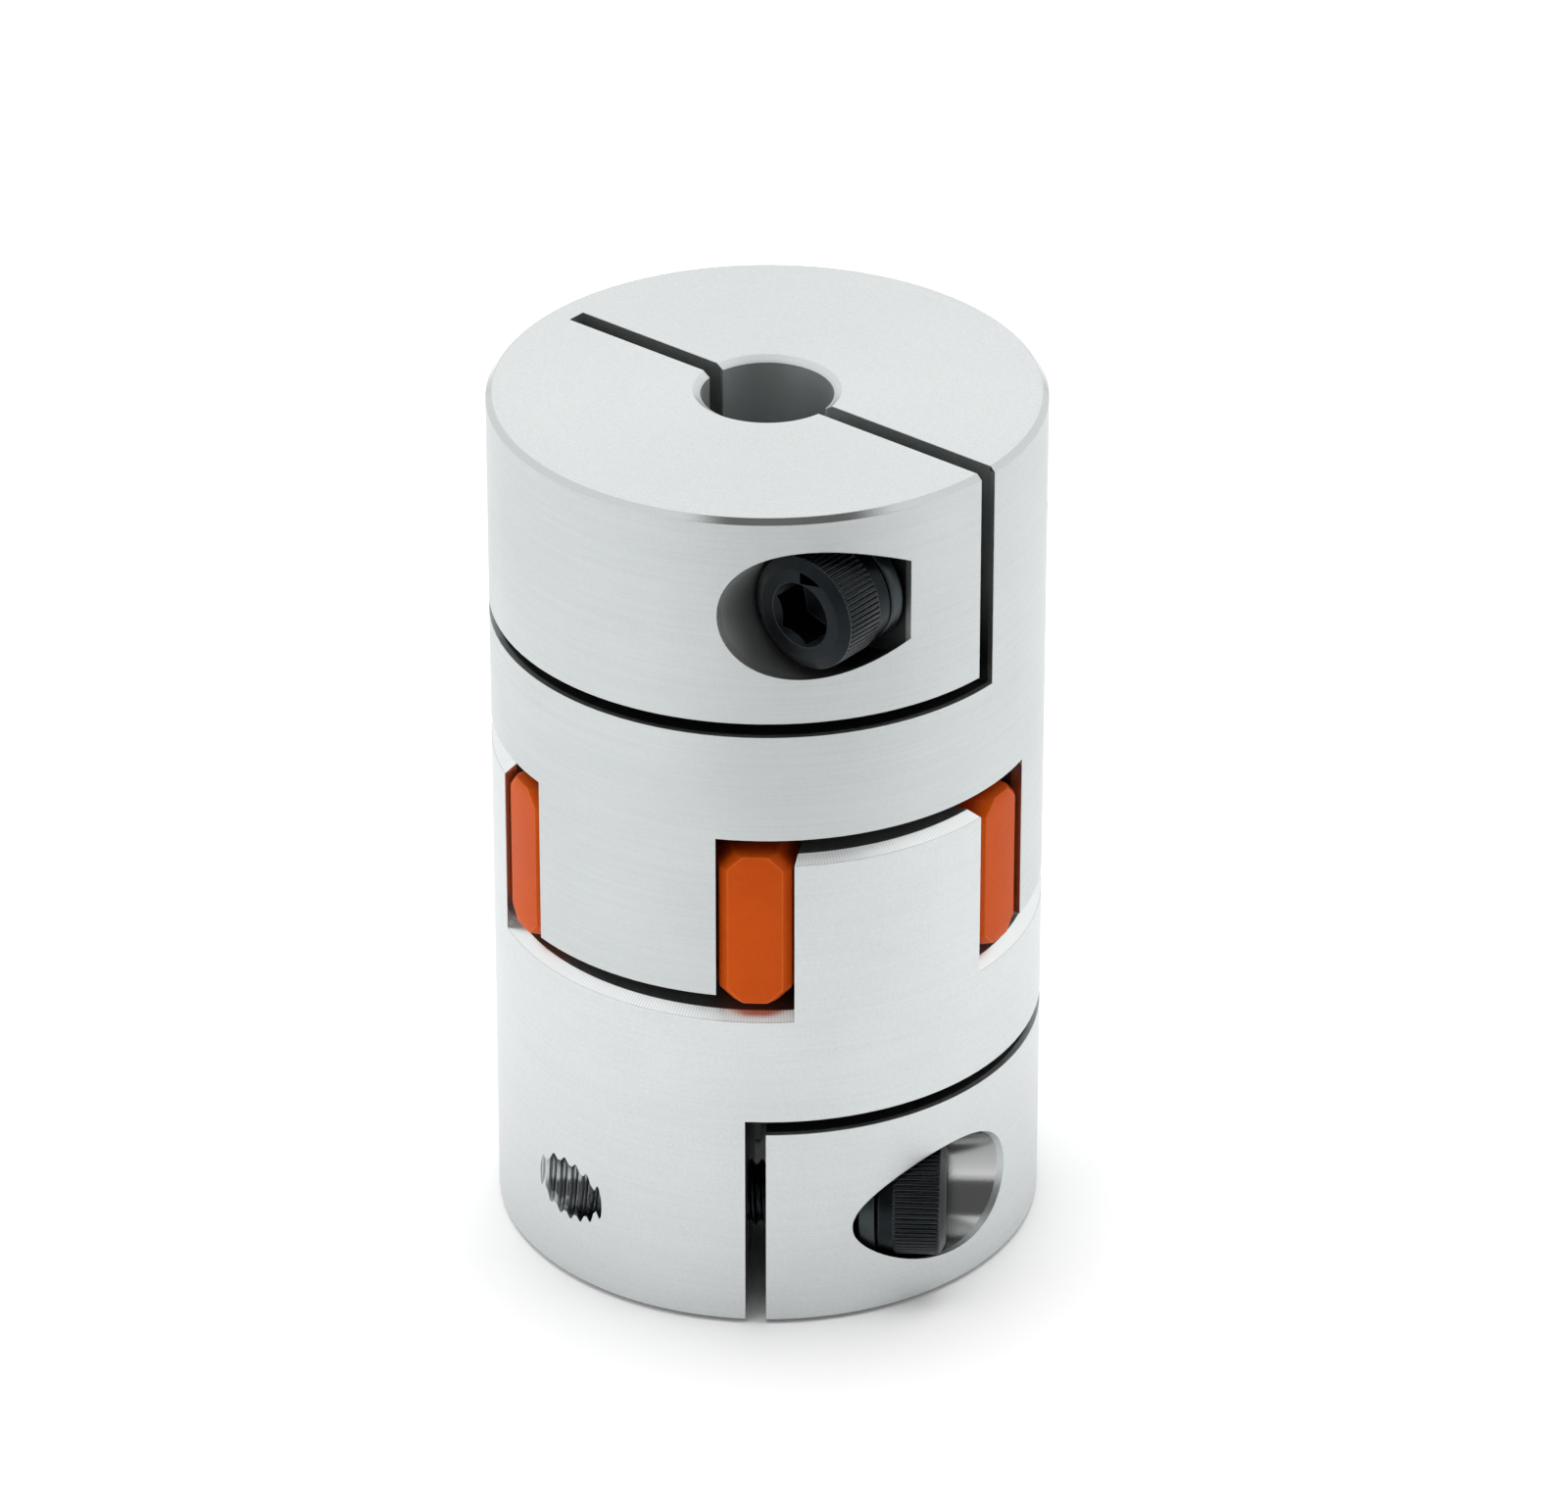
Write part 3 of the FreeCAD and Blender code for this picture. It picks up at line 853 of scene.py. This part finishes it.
def black_oxide_material(name, dark, light, worn):
    """Blackened steel: uneven oxide, fine tooth, bare-looking polished edges."""
    shader = new_shader(name)
    place = shader.object_place()
    patches = shader.noise(place, 420.0, 4.0, 0.6)
    tooth = shader.noise(place, 7000.0, 2.0, 0.6)
    rounded_normal, edge = shader.edges(0.07 * MM)
    tone = shader.mix(shader.remap(patches, 0.3, 0.7), dark, light)
    tone = shader.mix(shader.math("MULTIPLY", edge, 0.6), tone, worn)
    roughness = shader.remap(shader.math("ADD", patches, tooth), 0.7, 1.3, 0.28, 0.46)
    return shader.finish(
        Base_Color=tone,
        Metallic=0.9,
        Roughness=roughness,
        Normal=shader.bump(tooth, 0.004 * MM, 1.0, rounded_normal),
    )


def floor_material():
    shader = new_shader("floor_pale_paper")
    place = shader.object_place()
    fibres = shader.noise(place, 900.0, 3.0, 0.6)
    tone = shader.mix(fibres, colour(0.96, 0.96, 0.96), colour(0.98, 0.98, 0.98))
    return shader.finish(Base_Color=tone, Roughness=0.85, Specular_IOR_Level=0.1)


# ---------------------------------------------------------------- studio
def add_camera():
    low, high = cad_bounds
    middle = Vector((0, 0, (low[2] + high[2]) / 2))
    data = bpy.data.cameras.new("camera")
    data.sensor_width = SENSOR_WIDTH
    data.lens = SENSOR_WIDTH * CAMERA_DISTANCE / VIEW_WIDTH
    data.clip_start = 0.01
    data.clip_end = 10
    camera = bpy.data.objects.new("camera", data)
    bpy.context.scene.collection.objects.link(camera)
    view = direction(CAMERA_AZIMUTH, CAMERA_ELEVATION)
    right = Vector((0, 0, 1)).cross(view).normalized()
    up = view.cross(right).normalized()
    camera.location = middle + view * CAMERA_DISTANCE
    aim = middle + right * AIM_RIGHT + up * AIM_UP
    camera.rotation_euler = (aim - camera.location).to_track_quat("-Z", "Y").to_euler()
    bpy.context.scene.camera = camera


def add_softbox(name, place, target, size, power):
    data = bpy.data.lights.new(name, "AREA")
    data.shape = "RECTANGLE"
    data.size, data.size_y = size
    data.energy = power
    light = bpy.data.objects.new(name, data)
    light.location = place
    light.rotation_euler = (Vector(target) - Vector(place)).to_track_quat("-Z", "Y").to_euler()
    light.visible_glossy = False
    bpy.context.scene.collection.objects.link(light)


def add_world(strength):
    """White all round, but for the dark room that lies behind the camera."""
    world = bpy.data.worlds.new("studio")
    shader = Shader(world)
    x, y, z = shader.split(shader.node("ShaderNodeTexCoord").outputs["Generated"])
    out = direction(DARK_AZIMUTH, 0)
    in_line = shader.math("ADD", shader.math("MULTIPLY", x, out.x), shader.math("MULTIPLY", y, out.y))
    azimuth = shader.math("ARCCOSINE", shader.math("DIVIDE", in_line, shader.distance(x, y)))
    elevation = shader.math("ARCSINE", z)
    share = shader.all_of(
        shader.under(azimuth, math.radians(DARK_HALF_WIDTH), math.radians(DARK_WIDTH_SOFTNESS)),
        shader.over(elevation, math.radians(DARK_LOW), math.radians(DARK_HEIGHT_SOFTNESS)),
        shader.under(elevation, math.radians(DARK_HIGH), math.radians(DARK_HEIGHT_SOFTNESS)),
    )
    tone = shader.mix(share, colour(1, 1, 1), colour(DARK_LEVEL, DARK_LEVEL, DARK_LEVEL))
    background = shader.tree.nodes["Background"]
    shader.feed(background.inputs["Color"], tone)
    shader.feed(background.inputs["Strength"], strength)
    bpy.context.scene.world = world


def dark_reflection_card_material():
    """Black for a painted reflection, fading in with the distance and out to both sides."""
    shader = new_shader("dark_reflection_card")
    x, y, _ = shader.split(shader.object_place())
    reach = shader.distance(x, y)
    out = direction(CARD_AZIMUTH, 0)
    in_line = shader.math("ADD", shader.math("MULTIPLY", x, out.x), shader.math("MULTIPLY", y, out.y))
    facing = shader.remap(shader.math("DIVIDE", in_line, reach), math.cos(math.radians(CARD_HALF_ANGLE)), 1.0)
    share = shader.all_of(facing, facing, shader.remap(reach, CARD_NEAR, CARD_FULL, 0.0, CARD_LEVEL))
    return shader.finish(
        Base_Color=colour(0.0, 0.0, 0.0),
        Roughness=1.0,
        Specular_IOR_Level=0.0,
        Alpha=share,
    )


def add_dark_reflection_card():
    """A dark sheet on the floor in front, seen only in reflections: a painted reflection on the metal."""
    level = cad_bounds[0][2] + CARD_RISE
    near, far = [], []
    steps = 16
    for step in range(steps + 1):
        out = direction(CARD_AZIMUTH + CARD_HALF_ANGLE * (2 * step / steps - 1), 0)
        near.append((out.x * CARD_NEAR, out.y * CARD_NEAR, level))
        far.append((out.x * CARD_FAR, out.y * CARD_FAR, level))
    data = bpy.data.meshes.new("dark_reflection_card")
    data.from_pydata(near + far, [], [(k, k + 1, k + steps + 2, k + steps + 1) for k in range(steps)])
    data.materials.append(dark_reflection_card_material())
    card = bpy.data.objects.new("dark_reflection_card", data)
    bpy.context.scene.collection.objects.link(card)
    card.visible_camera = False
    card.visible_diffuse = False
    card.visible_shadow = False


def add_floor():
    reach = 3.0
    level = cad_bounds[0][2]
    data = bpy.data.meshes.new("floor")
    corners = [(-reach, -reach, level), (reach, -reach, level), (reach, reach, level), (-reach, reach, level)]
    data.from_pydata(corners, [], [(0, 1, 2, 3)])
    data.materials.append(floor_material())
    floor = bpy.data.objects.new("floor", data)
    bpy.context.scene.collection.objects.link(floor)


def main():
    bpy.context.scene.view_settings.view_transform = "Standard"
    add_camera()
    add_world(WORLD_STRENGTH)
    add_softbox("overhead", SOFTBOX_PLACE, SOFTBOX_AIM, SOFTBOX_SIZE, SOFTBOX_WATTS)
    add_floor()
    add_dark_reflection_card()

    for end, shaded_side_tone in SHADED_SIDE_TONES.items():
        hub = frame["nodes"][end + "_hub"]
        hub.data.materials.clear()
        hub.data.materials.append(hub_material(end, colour(*shaded_side_tone)))

    screw_finish = black_oxide_material(
        "screw_black_oxide",
        colour(0.008, 0.011, 0.013),
        colour(0.014, 0.018, 0.020),
        colour(0.30, 0.33, 0.34),
    )
    washer_finish = black_oxide_material(
        "washer_black_oxide",
        colour(0.030, 0.038, 0.042),
        colour(0.050, 0.060, 0.064),
        colour(0.22, 0.25, 0.26),
    )
    for end in ("lower", "upper"):
        add_clamp_screw(end, screw_finish)
        add_lock_washer(end, washer_finish)
    add_spider(spider_material())


main()
